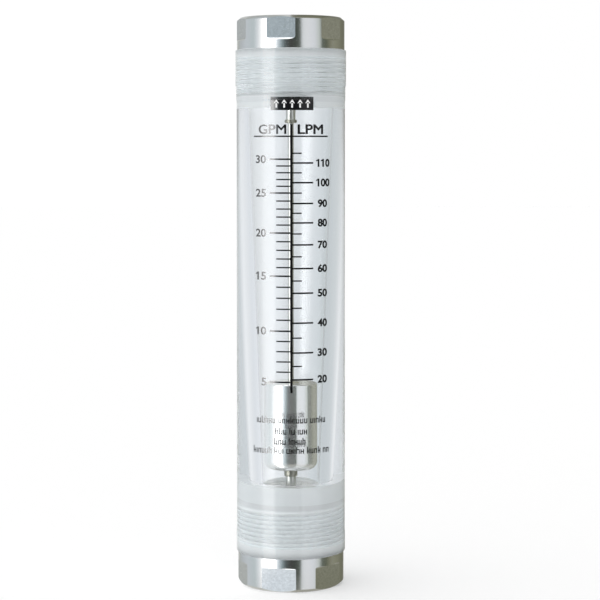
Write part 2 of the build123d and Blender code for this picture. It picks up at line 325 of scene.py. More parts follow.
def flat_cutters(name, face, way, depth, length, runout, turn):
    """One mesh with the cutters of all the wrench flats, each with its curved run-out."""
    floor = COLLAR_RADIUS - depth
    outside = COLLAR_RADIUS + 1.0 * MM
    overrun = 3.0 * MM
    half_width = 0.75 * COLLAR_RADIUS
    steps = 8
    arc_radius = (depth ** 2 + runout ** 2) / (2 * depth)
    section = [(outside, face - way * overrun), (floor, face - way * overrun)]
    for step in range(steps + 1):
        rise = (outside - floor) * (step / steps) ** 2
        run = math.sqrt(max(0.0, 2 * arc_radius * rise - rise ** 2))
        section.append((floor + rise, face + way * (length + run)))
    bm = bmesh.new()
    for flat in range(FLAT_COUNT):
        azimuth = math.radians(turn + 360 / FLAT_COUNT * flat)
        normal = Vector((math.sin(azimuth), -math.cos(azimuth), 0))
        side = Vector((math.cos(azimuth), math.sin(azimuth), 0)) * half_width
        ends = []
        for offset in (-side, side):
            ends.append([bm.verts.new(normal * reach + offset + Vector((0, 0, height)))
                         for reach, height in section])
        join_loops(bm, ends[0], ends[1])
        cap_ends(bm, ends[0], ends[1])
    bmesh.ops.recalc_face_normals(bm, faces=bm.faces)
    return mesh_object(name, bm)


def apply_modifier(piece, modifier):
    """Replace the piece's mesh by the result of its modifier."""
    depsgraph = bpy.context.evaluated_depsgraph_get()
    result = bpy.data.meshes.new_from_object(piece.evaluated_get(depsgraph))
    piece.modifiers.remove(modifier)
    piece.data = result


def make_fitting(node, face, way, collar, thread, nose, flats):
    piece = turned(node + "_body", fitting_rows(face, way, collar, thread, nose))
    cutters = flat_cutters(node + "_cutters", face, way, *flats)
    cut = piece.modifiers.new("flats", "BOOLEAN")
    cut.operation = "DIFFERENCE"
    cut.solver = "EXACT"
    cut.object = cutters
    bpy.context.view_layer.update()
    apply_modifier(piece, cut)
    bpy.data.objects.remove(cutters)
    shade_smooth(piece.data, FLAT_SHARP_ANGLE)
    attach(piece, "meter")
    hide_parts(node)
    return piece


def paint_fitting(piece, face, way, collar, thread, looks):
    """Turned collar and threads, milled flats, and the satin finish of the nose and waterway."""
    collar_end = face + way * (collar - 0.05 * MM)
    thread_end = thread[1] if way > 0 else thread[0]
    port_wall = PORT_RADIUS + 1.1 * THREAD_DEPTH
    flat_reach = COLLAR_RADIUS - 0.3 * MM
    most_level = 0.6

    def look_at(polygon):
        height = polygon.center.z
        radius = math.hypot(polygon.center.x, polygon.center.y)
        beyond = (height - collar_end) * way > 0
        threaded = beyond and (thread_end - height) * way > 0 and radius > NOSE_RADIUS
        in_port = radius < port_wall and (height - face) * way < PORT_DEPTH
        if threaded or in_port:
            return "turned"
        if beyond:
            return "satin"
        if abs(polygon.normal.z) < most_level and radius < flat_reach:
            return "milled"
        return "turned"

    set_looks(piece, looks, look_at)


def make_float():
    bush_seat = ROD_RADIUS + 1.6 * MM
    flange_seat = bush_seat + 1.29 * MM
    recess = FLOAT_HIGH - FLANGE_THICKNESS
    arc_steps = 14
    section = [(bush_seat, FLOAT_LOW)]
    for step in range(arc_steps + 1):
        angle = math.pi / 2 * step / arc_steps
        section.append((FLOAT_RADIUS - FLOAT_CORNER + FLOAT_CORNER * math.sin(angle),
                        FLOAT_LOW + FLOAT_CORNER - FLOAT_CORNER * math.cos(angle)))
    section += [
        (FLOAT_RADIUS, FLOAT_HIGH - FLOAT_EDGE),
        (FLOAT_RADIUS - FLOAT_EDGE, FLOAT_HIGH),
        (flange_seat, FLOAT_HIGH),
        (flange_seat, recess),
        (bush_seat, recess),
    ]
    piece = turned("float_shell", plain_rows(section))
    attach(piece, "float")
    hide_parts("float_body")
    return piece


def make_bush(node, name, way, face):
    edge = 0.15 * MM
    bore = ROD_RADIUS + ROD_CLEARANCE
    sleeve = bore + 1.5 * MM
    flange = sleeve + 1.27 * MM
    out = face - way * FLANGE_THICKNESS
    inner = face + way * BUSH_LENGTH
    section = [(bore, out), (flange, out), (flange, face), (sleeve, face), (sleeve, inner),
               (bore, inner)]
    piece = turned(name, plain_rows(eased(section, edge)))
    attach(piece, "float")
    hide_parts(node)
    return piece


def make_round(node, name, section, soften):
    """Turned piece on the axis that stands for a CAD node of the meter."""
    piece = turned(name, plain_rows(eased(section, soften)))
    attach(piece, "meter")
    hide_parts(node)
    return piece


def make_rod():
    low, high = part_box("guide_rod")
    edge = 0.3 * MM
    # So close to the axis that its vertices are welded into one
    axis = 0.0001 * MM
    section = [(axis, low.z), (ROD_RADIUS, low.z), (ROD_RADIUS, high.z), (axis, high.z)]
    return make_round("guide_rod", "rod", section, edge)


def make_seal(end):
    low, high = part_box(f"{end}_o_ring")
    middle = (low.z + high.z) / 2
    half = (high.z - low.z) / 2
    steps = 24
    section = []
    for step in range(steps):
        angle = 2 * math.pi * step / steps
        section.append((high.x - half + half * math.cos(angle), middle + half * math.sin(angle)))
    piece = turned(f"{end}_seal", plain_rows(section))
    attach(piece, "meter")
    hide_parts(f"{end}_o_ring")
    return piece


# Rings on the rod: node, name, clearance round the rod, slot and rounding of the edges
ROD_RINGS = [
    ("stop_sleeve", "sleeve", ROD_CLEARANCE, "stainless_rod", 0.12 * MM),
    ("rod_washer", "washer", ROD_CLEARANCE, "stainless_inner", 0.08 * MM),
    ("stop_collar", "stop", 0.02 * MM, "stainless_rod", 0.5 * MM),
]


def make_rod_ring(end, node, name, clearance, edge):
    low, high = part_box(f"{end}_{node}")
    inner = ROD_RADIUS + clearance
    section = [(inner, low.z), (high.x, low.z), (high.x, high.z), (inner, high.z)]
    return make_round(f"{end}_{node}", f"{end}_{name}", section, edge)


# Printed scale, wrapped on the tube. Widths are along the tube's surface.
INK_LIFT = 0.012 * MM
INK_THICKNESS = 0.02 * MM
INK_STEP = 1.0 * MM
CENTRE_LINE_X = 0.45 * MM
CENTRE_LINE_WIDTH = 1.2 * MM
CENTRE_LINE_LOW, CENTRE_LINE_HIGH = 103.5 * MM, 239.7 * MM
HEADER_Z = 233.6 * MM
HEADER_LEFT, HEADER_RIGHT = math.radians(-41.5), math.radians(42.3)
HEADER_THICKNESS = 0.75 * MM
GALLON_TICKS = {5: 109.0, 10: 135.1, 15: 163.05, 20: 184.9, 25: 205.1, 30: 222.1}
LITRE_TICKS = {20: 110.3, 30: 124.0, 40: 139.2, 50: 154.4, 60: 166.9, 70: 178.9, 80: 190.0,
               90: 199.8, 100: 210.3, 110: 220.2}
LAST_LITRE_TICK = 225.1
GALLON_STEP = 5
GALLON_MINOR_REACH, GALLON_MAJOR_REACH = math.radians(-15.0), math.radians(-22.0)
LITRE_MINOR_REACH, LITRE_MAJOR_REACH = math.radians(11.7), math.radians(24.2)
MAJOR_THICKNESS = 0.85 * MM
MINOR_THICKNESS = 0.7 * MM
DIGIT_HEIGHT = 4.1 * MM
LETTER_HEIGHT = 4.9 * MM
UNIT_Z = 237.15 * MM
GALLON_UNIT_LEFT, GALLON_UNIT_RIGHT = -17.1 * MM, -2.1 * MM
LITRE_UNIT_LEFT, LITRE_UNIT_RIGHT = 3.6 * MM, 17.6 * MM
# Numbers: their right or left edges across the tube, widths by count of digits, and boldness
GALLON_NUMBER_RIGHT = -12.85 * MM
GALLON_NUMBER_WIDTHS = {1: 2.75 * MM, 2: 6.1 * MM}
GALLON_BOLD, GALLON_UNIT_BOLD = 0.022, 0.02
LITRE_NUMBER_LEFTS = {2: 14.4 * MM, 3: 13.4 * MM}
LITRE_NUMBER_WIDTHS = {2: 5.8 * MM, 3: 8.5 * MM}
LITRE_BOLD, LITRE_UNIT_BOLD = 0.042, 0.028
TEXT_HALF_DEPTH = 0.5
TEXT_WELD = 0.00001
# Azimuth past which the ink is the glossier, lighter copy: painted highlight on the side the left
# light falls on.
LIT_SIDE_INK_END = math.radians(-13.0)


def tube_radius(z):
    """Outside radius of the tube's drafted body at a height."""
    low = TUBE_LOW + LOWER_BAND_HEIGHT
    high = TUBE_HIGH - UPPER_BAND_HEIGHT - UPPER_SHOULDER_HEIGHT
    share = (z - low) / (high - low)
    return TUBE_LOWER_RADIUS + (TUBE_UPPER_RADIUS - TUBE_LOWER_RADIUS) * share


def on_tube(across, z, lift):
    """Point on the tube's front at a distance across from the middle, raised by lift."""
    radius = tube_radius(z)
    azimuth = across / radius
    reach = radius + lift
    return Vector((reach * math.sin(azimuth), -reach * math.cos(azimuth), z))


def ink_patch(bm, left, right, low, high):
    """Thin rectangular patch of ink between two distances across and two heights."""
    columns = max(1, math.ceil((right - left) / INK_STEP))
    lines = []
    for column in range(columns + 1):
        across = left + (right - left) * column / columns
        lines.append([bm.verts.new(on_tube(across, z, lift)) for z, lift in (
            (low, INK_LIFT), (low, INK_LIFT + INK_THICKNESS),
            (high, INK_LIFT + INK_THICKNESS), (high, INK_LIFT))])
    for before, after in zip(lines, lines[1:]):
        join_loops(bm, before, after)
    cap_ends(bm, lines[0], lines[-1])


def arc(azimuth, z):
    """Distance across the tube's surface of an azimuth."""
    return azimuth * tube_radius(z)


def ink_line(bm, left_azimuth, right_azimuth, z, thickness):
    low, high = z - thickness / 2, z + thickness / 2
    ink_patch(bm, arc(left_azimuth, z), arc(right_azimuth, z), low, high)


def ink_object(name, bm):
    bmesh.ops.recalc_face_normals(bm, faces=bm.faces)
    piece = mesh_object(name, bm)
    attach(piece, "meter")
    return piece


def make_ticks():
    bm = bmesh.new()
    left_edge = CENTRE_LINE_X - CENTRE_LINE_WIDTH / 2
    right_edge = CENTRE_LINE_X + CENTRE_LINE_WIDTH / 2
    ink_patch(bm, left_edge, right_edge, CENTRE_LINE_LOW, CENTRE_LINE_HIGH)
    ink_line(bm, HEADER_LEFT, left_edge / tube_radius(HEADER_Z), HEADER_Z, HEADER_THICKNESS)
    ink_line(bm, right_edge / tube_radius(HEADER_Z), HEADER_RIGHT, HEADER_Z, HEADER_THICKNESS)
    gallons = sorted(GALLON_TICKS.items())
    for index, (_, height) in enumerate(gallons):
        z = height * MM
        ink_line(bm, GALLON_MAJOR_REACH, left_edge / tube_radius(z), z, MAJOR_THICKNESS)
        if index + 1 < len(gallons):
            following = gallons[index + 1][1] * MM
            for minor in range(1, GALLON_STEP):
                between = z + (following - z) * minor / GALLON_STEP
                ink_line(bm, GALLON_MINOR_REACH, left_edge / tube_radius(between), between,
                         MINOR_THICKNESS)
    litres = sorted(LITRE_TICKS.items())
    minors = [(low[1] + high[1]) / 2 for low, high in zip(litres, litres[1:])]
    for height in minors + [LAST_LITRE_TICK]:
        z = height * MM
        ink_line(bm, right_edge / tube_radius(z), LITRE_MINOR_REACH, z, MINOR_THICKNESS)
    for _, height in litres:
        z = height * MM
        ink_line(bm, right_edge / tube_radius(z), LITRE_MAJOR_REACH, z, MAJOR_THICKNESS)
    return ink_object("scale_lines", bm)


def islands_of(bm):
    """The mesh's separate shells as lists of vertices, from left to right."""
    islands = []
    unseen = set(bm.verts)
    while unseen:
        reached = [unseen.pop()]
        for vertex in reached:
            for edge in vertex.link_edges:
                other = edge.other_vert(vertex)
                if other in unseen:
                    unseen.remove(other)
                    reached.append(other)
        islands.append(reached)
    return sorted(islands, key=lambda island: min(vertex.co.x for vertex in island))


def flag_ones(bm, words):
    """Short slanted flag on each 1, which the font draws as a plain stem."""
    stems = [island for character, island in zip(words, islands_of(bm)) if character == "1"]
    for stem in stems:
        left, right = min(v.co.x for v in stem), max(v.co.x for v in stem)
        foot, top = min(v.co.y for v in stem), max(v.co.y for v in stem)
        width, height = right - left, top - foot
        depths = (-TEXT_HALF_DEPTH, TEXT_HALF_DEPTH)
        outline = [
            (left - 0.9 * width, top - 0.17 * height),
            (left - 0.9 * width, top - 0.33 * height),
            (left + 0.3 * width, top - 0.2 * height),
            (left + 0.3 * width, top),
        ]
        sides = [[bm.verts.new((x, y, z)) for x, y in outline] for z in depths]
        join_loops(bm, sides[0], sides[1])
        cap_ends(bm, sides[0], sides[1])


def printed_text(name, words, left, right, middle, height, bold):
    """Characters fitted between two distances across the tube, centred on a height."""
    curve = bpy.data.curves.new(name, "FONT")
    curve.body = words
    curve.extrude = TEXT_HALF_DEPTH
    curve.bevel_depth = bold
    curve.bevel_resolution = 0
    curve.resolution_u = 6
    draft = bpy.data.objects.new(name, curve)
    bpy.context.scene.collection.objects.link(draft)
    bpy.context.view_layer.update()
    mesh = bpy.data.meshes.new_from_object(draft)
    bpy.data.objects.remove(draft)
    bm = bmesh.new()
    bm.from_mesh(mesh)
    bpy.data.meshes.remove(mesh)
    bmesh.ops.remove_doubles(bm, verts=bm.verts, dist=TEXT_WELD)
    flag_ones(bm, words)
    xs = [vertex.co.x for vertex in bm.verts]
    ys = [vertex.co.y for vertex in bm.verts]
    x_low, x_high, y_low, y_high = min(xs), max(xs), min(ys), max(ys)
    scale_x = (right - left) / (x_high - x_low)
    scale_y = height / (y_high - y_low)
    for vertex in bm.verts:
        across = left + (vertex.co.x - x_low) * scale_x
        z = middle - height / 2 + (vertex.co.y - y_low) * scale_y
        share = min(1.0, max(0.0, vertex.co.z + TEXT_HALF_DEPTH))
        vertex.co = on_tube(across, z, INK_LIFT + INK_THICKNESS * share)
    return ink_object(name, bm)


def make_numbers():
    """Scale numbers: bold on the litre side, lighter on the gallon side."""
    pieces = []
    for value, height in GALLON_TICKS.items():
        digits = str(value)
        right = GALLON_NUMBER_RIGHT
        left = right - GALLON_NUMBER_WIDTHS[len(digits)]
        pieces.append(printed_text(f"gallons_{value}", digits, left, right, height * MM,
                                   DIGIT_HEIGHT, GALLON_BOLD))
    for value, height in LITRE_TICKS.items():
        digits = str(value)
        left = LITRE_NUMBER_LEFTS[len(digits)]
        right = left + LITRE_NUMBER_WIDTHS[len(digits)]
        pieces.append(printed_text(f"litres_{value}", digits, left, right, height * MM,
                                   DIGIT_HEIGHT, LITRE_BOLD))
    pieces.append(printed_text("unit_gallons", "GPM", GALLON_UNIT_LEFT, GALLON_UNIT_RIGHT, UNIT_Z,
                               LETTER_HEIGHT, GALLON_UNIT_BOLD))
    pieces.append(printed_text("unit_litres", "LPM", LITRE_UNIT_LEFT, LITRE_UNIT_RIGHT, UNIT_Z,
                               LETTER_HEIGHT, LITRE_UNIT_BOLD))
    return pieces


# Black bar above the scale
BAR_LOW, BAR_HIGH = 246.7 * MM, 253.4 * MM
BAR_LEFT, BAR_RIGHT = math.radians(-20.9), math.radians(24.4)


def make_bar():
    """Black bar with plain white arrows that point along the flow."""
    bm = bmesh.new()
    middle = (BAR_LOW + BAR_HIGH) / 2
    ink_patch(bm, arc(BAR_LEFT, middle), arc(BAR_RIGHT, middle), BAR_LOW, BAR_HIGH)
    bar = ink_object("scale_bar", bm)
    bm = bmesh.new()
    count = 5
    margin = 3.0 * MM
    half_width = 1.35 * MM
    half_height = 2.1 * MM
    stem = 0.42 * MM
    head_foot = 0.1 * MM
    left = arc(BAR_LEFT, middle) + margin
    pitch = (arc(BAR_RIGHT, middle) - margin - left) / (count - 1)
    lift = INK_LIFT + INK_THICKNESS
    over_bar = (0.004 * MM, 0.02 * MM)
    for index in range(count):
        across = left + pitch * index
        outline = [(0, half_height), (half_width, head_foot), (stem, head_foot),
                   (stem, -half_height), (-stem, -half_height), (-stem, head_foot),
                   (-half_width, head_foot)]
        sides = []
        for extra in over_bar:
            sides.append([bm.verts.new(on_tube(across + x, middle + y, lift + extra))
                          for x, y in outline])
        join_loops(bm, sides[0], sides[1])
        for side in sides:
            bm.faces.new((side[0], side[1], side[2], side[5], side[6]))
            bm.faces.new(side[2:6])
    return bar, ink_object("flow_arrows", bm)


# Rows of small strokes beside the float: foot height, left and right across, in millimetres
NOTE_ROWS = [(87.9, -18.6, 19.9), (82.2, -8.0, 8.5), (77.0, -8.5, 9.3), (72.3, -20.7, 21.7)]
NOTE_STROKE = 0.55 * MM
NOTE_HEIGHT = 2.5 * MM
NOTE_TALL = 3.5 * MM
NOTE_GAP = 0.4 * MM
NOTE_WORD_GAP = 1.5 * MM
NOTE_PAIR_WIDTH = 1.3 * MM
NOTE_PAIR_GAPS = (0.4, 0.75)
NOTE_TALL_SHARE = 0.3
NOTE_PAIR_SHARE = 0.85


def make_note_rows():
    """Upright strokes, most of them tied in pairs by a short bar, in word-long groups."""
    bm = bmesh.new()
    for foot, left, right in NOTE_ROWS:
        low = foot * MM
        across = left * MM
        strokes_left = random.randint(3, 7)
        while across < right * MM - NOTE_PAIR_WIDTH:
            tall = NOTE_TALL if random.random() < NOTE_TALL_SHARE else NOTE_HEIGHT
            end = across + NOTE_STROKE
            ink_patch(bm, across, end, low, low + tall)
            if random.random() < NOTE_PAIR_SHARE:
                inner = end + random.uniform(*NOTE_PAIR_GAPS) * MM
                level = low + random.choice((0.0, 0.5, 1.0)) * (NOTE_HEIGHT - NOTE_STROKE)
                ink_patch(bm, end, inner, level, level + NOTE_STROKE)
                end = inner + NOTE_STROKE
                ink_patch(bm, inner, end, low, low + NOTE_HEIGHT)
            strokes_left -= 1
            gap = NOTE_GAP
            if strokes_left == 0:
                strokes_left = random.randint(2, 8)
                gap = NOTE_WORD_GAP
            across = end + gap
    return ink_object("note_rows", bm)


# Materials: the noise's stretch along each axis, and the acrylic's refraction
EVEN = (1, 1, 1)
TURNED_LINES = (4, 4, 9000)
MILLED_LINES = (650, 650, 850)
DRAWN_LINES = (900, 900, 30)
ACRYLIC_INDEX = 1.49


def paint(piece, material):
    piece.data.materials.clear()
    piece.data.materials.append(material)


def set_looks(piece, looks, look_at):
    """Give each face the material that look_at names for it."""
    names = list(looks)
    piece.data.materials.clear()
    for material in looks.values():
        piece.data.materials.append(material)
    for polygon in piece.data.polygons:
        polygon.material_index = names.index(look_at(polygon))


def new_material(name):
    material = bpy.data.materials.new(name)
    material.use_nodes = True
    nodes = material.node_tree.nodes
    return material, nodes, material.node_tree.links, nodes["Principled BSDF"]


def noise_node(nodes, links, scale, stretch, detail=3.0):
    """Noise on object coordinates, with its own stretch along each axis."""
    place = nodes.new("ShaderNodeTexCoord")
    mapping = nodes.new("ShaderNodeMapping")
    mapping.inputs["Scale"].default_value = stretch
    noise = nodes.new("ShaderNodeTexNoise")
    noise.inputs["Scale"].default_value = scale
    noise.inputs["Detail"].default_value = detail
    links.new(place.outputs["Object"], mapping.inputs["Vector"])
    links.new(mapping.outputs["Vector"], noise.inputs["Vector"])
    return noise


def add_bump(nodes, links, shader, noise, strength, distance):
    bump = nodes.new("ShaderNodeBump")
    bump.inputs["Strength"].default_value = strength
    bump.inputs["Distance"].default_value = distance
    links.new(noise.outputs["Fac"], bump.inputs["Height"])
    links.new(bump.outputs["Normal"], shader.inputs["Normal"])


def ramp_between(nodes, links, noise, low, high, start=0.3, end=0.7):
    """Ramp over a noise, from one colour to another."""
    ramp = nodes.new("ShaderNodeValToRGB")
    ramp.color_ramp.elements[0].position = start
    ramp.color_ramp.elements[0].color = low
    ramp.color_ramp.elements[1].position = end
    ramp.color_ramp.elements[1].color = high
    links.new(noise.outputs["Fac"], ramp.inputs["Fac"])
    return ramp.outputs["Color"]


def grey(value):
    return (value, value, value, 1.0)


def vary_roughness(nodes, links, shader, noise, low, high):
    links.new(ramp_between(nodes, links, noise, grey(low), grey(high)), shader.inputs["Roughness"])


def vary_colour(nodes, links, shader, noise, low, high):
    colour = ramp_between(nodes, links, noise, low + (1.0,), high + (1.0,))
    links.new(colour, shader.inputs["Base Color"])


def steel_material(name, colour, rough_low, rough_high, stretch, line_bump, tint=0.04, bare=1.0,
                   detail=2.0):
    """Machined steel: fine tool lines along one way, with patches of duller and darker metal.
    The share that isn't bare has a pale bloom that scatters light."""
    material, nodes, links, shader = new_material(name)
    shader.inputs["Metallic"].default_value = bare
    lines = noise_node(nodes, links, 1.0, stretch, detail)
    patches = noise_node(nodes, links, 70.0, EVEN, 4.0)
    vary_roughness(nodes, links, shader, patches, rough_low, rough_high)
    darker = tuple(channel * (1 - tint) for channel in colour)
    vary_colour(nodes, links, shader, lines, darker, colour)
    add_bump(nodes, links, shader, lines, line_bump, 0.02 * MM)
    return material


def acrylic_material(name, rough_low, rough_high):
    """Clear acrylic: a cool tint, faint marks and long low moulding waves."""
    material, nodes, links, shader = new_material(name)
    shader.inputs["Transmission Weight"].default_value = 1.0
    shader.inputs["IOR"].default_value = ACRYLIC_INDEX
    haze = noise_node(nodes, links, 45.0, (1, 1, 0.25), 5.0)
    vary_roughness(nodes, links, shader, haze, rough_low, rough_high)
    tint = noise_node(nodes, links, 12.0, (1, 1, 0.4), 2.0)
    vary_colour(nodes, links, shader, tint, (0.958, 0.970, 0.976), (0.966, 0.976, 0.981))
    waves = noise_node(nodes, links, 22.0, (1, 1, 0.2), 1.0)
    add_bump(nodes, links, shader, waves, 0.1, 0.05 * MM)
    return material


def film_material(name, dark, pale, clear_share=0.0):
    """Cut surface of a socket under pale thread sealant, which hides the metal behind it except
    for the clear share."""
    material, nodes, links, shader = new_material(name)
    shader.inputs["IOR"].default_value = ACRYLIC_INDEX
    shader.inputs["Specular IOR Level"].default_value = 0.0
    shader.inputs["Transmission Weight"].default_value = clear_share
    smear = noise_node(nodes, links, 60.0, (1, 1, 2.5), 4.0)
    vary_roughness(nodes, links, shader, smear, 0.1, 0.2)
    vary_colour(nodes, links, shader, smear, dark, pale)
    return material


def show_crests(material, low_share, high_share, crest_painted_shade):
    """Let the metal show through along the flat crests of a socket's thread, here more and there
    less, and make the film lighter or darker towards the crests: painted shading of the thread's
    relief."""
    nodes, links = material.node_tree.nodes, material.node_tree.links
    shader = nodes["Principled BSDF"]
    place = nodes.new("ShaderNodeTexCoord")
    flat = nodes.new("ShaderNodeVectorMath")
    flat.operation = "MULTIPLY"
    flat.inputs[1].default_value = (1, 1, 0)
    links.new(place.outputs["Object"], flat.inputs[0])
    radius = nodes.new("ShaderNodeVectorMath")
    radius.operation = "LENGTH"
    links.new(flat.outputs["Vector"], radius.inputs[0])
    root_radius = THREAD_ROOT + THREAD_CLEARANCE
    crest_radius = THREAD_RADIUS + THREAD_CLEARANCE
    crest = nodes.new("ShaderNodeMapRange")
    crest.inputs["From Min"].default_value = crest_radius - 0.12 * MM
    crest.inputs["From Max"].default_value = crest_radius - 0.04 * MM
    links.new(radius.outputs["Value"], crest.inputs["Value"])
    patches = noise_node(nodes, links, 45.0, EVEN, 2.0)
    share = ramp_between(nodes, links, patches, grey(low_share), grey(high_share), 0.4, 0.6)
    shown = maths(nodes, links, "MULTIPLY", crest.outputs["Result"], share)
    links.new(shown, shader.inputs["Transmission Weight"])
    # Painted shading of the thread's relief: the film's colour is scaled by radius, lighter or
    # darker towards the crests.
    depth = nodes.new("ShaderNodeMapRange")
    depth.inputs["From Min"].default_value = root_radius
    depth.inputs["From Max"].default_value = crest_radius
    depth.inputs["To Min"].default_value = 1.0 - crest_painted_shade
    depth.inputs["To Max"].default_value = 1.0 + crest_painted_shade
    links.new(radius.outputs["Value"], depth.inputs["Value"])
    shade = nodes.new("ShaderNodeVectorMath")
    shade.operation = "SCALE"
    links.new(shader.inputs["Base Color"].links[0].from_socket, shade.inputs[0])
    links.new(depth.outputs["Result"], shade.inputs["Scale"])
    links.new(shade.outputs["Vector"], shader.inputs["Base Color"])


def paint_tube(piece, looks):
    """Polished outside and bore, plain and threaded cut surfaces of the two sockets, and the
    bands that the seals press on."""
    low = LOWER_NOSE + 0.5 * NOSE_END_GAP
    step_high = LOWER_NOSE + 1.5 * NOSE_END_GAP
    high = UPPER_NOSE - 0.5 * NOSE_END_GAP
    socket_wall = THREAD_RADIUS + 2 * THREAD_CLEARANCE
    lower_seal, upper_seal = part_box("lower_o_ring"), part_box("upper_o_ring")
    least_level = 0.99

    def look_at(polygon):
        height = polygon.center.z
        level = abs(polygon.normal.z) > least_level
        if level and not TUBE_LOW < height < TUBE_HIGH:
            return "mouth"
        if level and low < height < step_high:
            return "step"
        outside = math.hypot(polygon.center.x, polygon.center.y) >= socket_wall
        if outside or low < height < high:
            return "clear"
        if LOWER_THREAD_LOW < height < LOWER_THREAD_HIGH:
            return "lower_thread"
        if UPPER_THREAD_LOW < height < UPPER_THREAD_HIGH:
            return "upper_thread"
        if lower_seal[0].z < height < lower_seal[1].z:
            return "lower_seal"
        if upper_seal[0].z < height < upper_seal[1].z:
            return "upper_seal"
        if LOWER_THREAD_HIGH <= height < low:
            return "nose_wall"
        return "mouth"

    set_looks(piece, looks, look_at)


def ink_material(name, colour, roughness, index, specular):
    """Screen print: opaque and glossy, with a slightly uneven film."""
    material, nodes, links, shader = new_material(name)
    shader.inputs["IOR"].default_value = index
    shader.inputs["Specular IOR Level"].default_value = specular
    film = noise_node(nodes, links, 900.0, EVEN, 3.0)
    lighter = tuple(min(1.0, channel * 1.25 + 0.002) for channel in colour)
    vary_colour(nodes, links, shader, film, colour, lighter)
    shader.inputs["Roughness"].default_value = roughness
    add_bump(nodes, links, shader, film, 0.05, 0.01 * MM)
    return material


def paint_ink(piece, looks):
    """Satin ink, and past the middle of the gallon side a glossier, slightly lighter copy of it:
    partly a painted highlight, as it brightens the print where the left light falls.
    """
    def look_at(polygon):
        azimuth = math.atan2(polygon.center.x, -polygon.center.y)
        return "glossy" if azimuth < LIT_SIDE_INK_END else "satin"

    set_looks(piece, looks, look_at)


def plain_material(name, colour, roughness, grain):
    """Moulded rubber or polymer with a fine grain."""
    material, nodes, links, shader = new_material(name)
    texture = noise_node(nodes, links, grain, EVEN, 4.0)
    darker = tuple(channel * 0.85 for channel in colour)
    vary_colour(nodes, links, shader, texture, darker, colour)
    shader.inputs["Roughness"].default_value = roughness
    add_bump(nodes, links, shader, texture, 0.2, 0.02 * MM)
    return material


# Studio, as colours by azimuth round the meter: degrees from the viewer's side, negative to the
# left. METAL_VIEW is what metal and ink mirror, with a share of the floor that grows between two
# downward slopes. CLEAR_VIEW is what shows through the tube. LIGHT_LEAN is by how much the white
# light is stronger from the left.
LEFT_SOFTBOX = (4.0, 4.0, 4.0)
LIGHT_LEAN = 0.5
FLOOR_VIEW = (0.70, 0.68, 0.62)
FLOOR_SHARE = 0.45
FLOOR_SLOPES = (-0.3, -0.6)
METAL_VIEW = [
    (-180, (0.86, 0.87, 0.87)),
    (-160, (0.64, 0.65, 0.63)),
    (-147, (0.47, 0.49, 0.47)),
    (-140, (0.56, 0.59, 0.60)),
    (-134, (0.56, 0.59, 0.61)),
    (-110, (0.67, 0.71, 0.75)),
    (-86, (0.61, 0.68, 0.70)),
    (-76, (0.84, 0.88, 0.92)),
    (-66, (1.2, 1.2, 1.2)),
    (-55, LEFT_SOFTBOX),
    (-37, LEFT_SOFTBOX),
    (-31, (1.10, 1.14, 1.18)),
    (-26, (0.69, 0.77, 0.83)),
    (-18, (0.30, 0.37, 0.39)),
    (-11, (0.11, 0.13, 0.13)),
    (0, (0.07, 0.07, 0.065)),
    (10, (0.07, 0.08, 0.07)),
    (21, (0.12, 0.14, 0.12)),
    (24.5, (0.85, 0.88, 0.90)),
    (36, (0.91, 0.92, 0.95)),
    (52, (0.84, 0.86, 0.90)),
    (65, (0.64, 0.68, 0.65)),
    (71, (0.15, 0.17, 0.14)),
    (83, (0.14, 0.15, 0.11)),
    (94, (0.25, 0.25, 0.18)),
    (102, (0.31, 0.31, 0.24)),
    (110, (0.30, 0.30, 0.22)),
    (150, (0.18, 0.18, 0.13)),
    (180, (0.30, 0.30, 0.26)),
]
CLEAR_VIEW = [
    (-180, (0.82, 0.84, 0.865)),
    (-168, (0.89, 0.91, 0.935)),
    (-150, (0.81, 0.83, 0.855)),
    (-130, (0.73, 0.76, 0.795)),
    (-60, (0.89, 0.92, 0.955)),
    (0, (0.79, 0.82, 0.855)),
    (60, (0.73, 0.76, 0.795)),
    (100, (0.59, 0.63, 0.655)),
    (130, (0.59, 0.63, 0.655)),
    (155, (0.63, 0.67, 0.695)),
    (168, (0.71, 0.74, 0.765)),
    (180, (0.82, 0.84, 0.865)),
]


def maths(nodes, links, operation, *values):
    """Math node of up to three values, each a socket or a number."""
    node = nodes.new("ShaderNodeMath")
    node.operation = operation
    for socket, value in zip(node.inputs, values):
        if isinstance(value, (int, float)):
            socket.default_value = value
        else:
            links.new(value, socket)
    return node.outputs["Value"]


def view_ramp(nodes, links, turn, view):
    """Background with a view's colours by azimuth."""
    ramp = nodes.new("ShaderNodeValToRGB")
    elements = ramp.color_ramp.elements
    while len(elements) < len(view):
        elements.new(0.5)
    for element, (azimuth, colour) in zip(elements, view):
        element.position = (azimuth + 180) / 360
        element.color = colour + (1.0,)
    links.new(turn, ramp.inputs["Fac"])
    background = nodes.new("ShaderNodeBackground")
    links.new(ramp.outputs["Color"], background.inputs["Color"])
    return background.outputs["Background"]


def mixed(nodes, links, share, first, second):
    mix = nodes.new("ShaderNodeMixShader")
    links.new(share, mix.inputs["Fac"])
    links.new(first, mix.inputs[1])
    links.new(second, mix.inputs[2])
    return mix.outputs["Shader"]


def bent_share(nodes, links, light):
    """1 for a ray that metal or a clear wall has turned, before any diffuse surface, or else 0."""
    turns = maths(nodes, links, "ADD", light.outputs["Glossy Depth"],
                  light.outputs["Transmission Depth"])
    shown = maths(nodes, links, "GREATER_THAN", turns, 0.5)
    direct = maths(nodes, links, "LESS_THAN", light.outputs["Diffuse Depth"], 0.5)
    return maths(nodes, links, "MULTIPLY", shown, direct)


